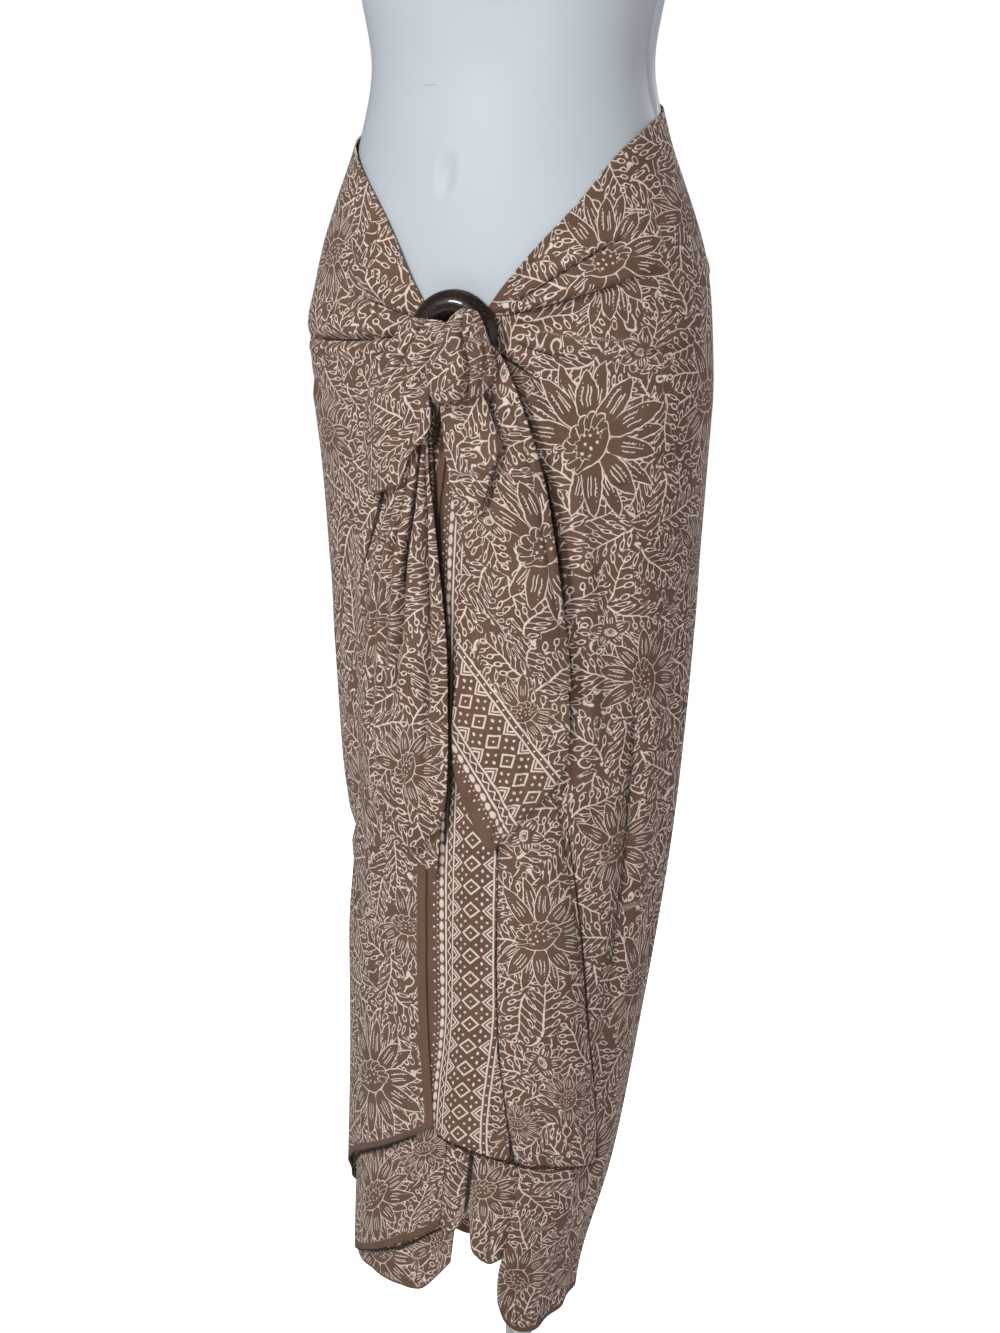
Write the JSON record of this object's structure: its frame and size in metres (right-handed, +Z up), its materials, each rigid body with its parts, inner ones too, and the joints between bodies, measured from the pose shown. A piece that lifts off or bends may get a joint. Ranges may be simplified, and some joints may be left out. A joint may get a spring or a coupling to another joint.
{
  "type": "sarong on limbless torso form",
  "caption": "Printed cotton sarong wrapped low on the hips, both upper corners drawn through a coconut shell ring, on a smooth torso form with a pole stand",
  "frame": {"origin": "on the floor at the centre of the stand base's underside", "axes": "+Z up, the garment's front faces -Y, +X is the wearer's left"},
  "size_m": [0.3575, 0.2945, 1.7223],
  "materials": {
    "batik_cloth": "matt woven cotton with a pale line print",
    "coconut_shell": "polished dark brown shell with fine flecks",
    "form_plastic": "smooth satin moulded plastic",
    "stand_metal": "brushed steel"
  },
  "bodies": {
    "root": {"wrap_left": "batik_cloth", "wrap_back": "batik_cloth", "wrap_right": "batik_cloth", "front_border": "batik_cloth", "front_pleat": "batik_cloth", "inner_middle": "batik_cloth", "inner_low": "batik_cloth", "inner_centre": "batik_cloth", "tail_left_flap": "batik_cloth", "tail_left": "batik_cloth", "tail_left_corner": "batik_cloth", "tail_right_knot": "batik_cloth", "tail_right": "batik_cloth", "tail_right_corner": "batik_cloth", "shell_ring": "coconut_shell", "form_torso": "form_plastic", "neck_cap": "form_plastic", "stand_base": "stand_metal", "stand_collar": "stand_metal", "stand_pole": "stand_metal", "stand_plate": "stand_metal"}
  },
  "joints": []
}
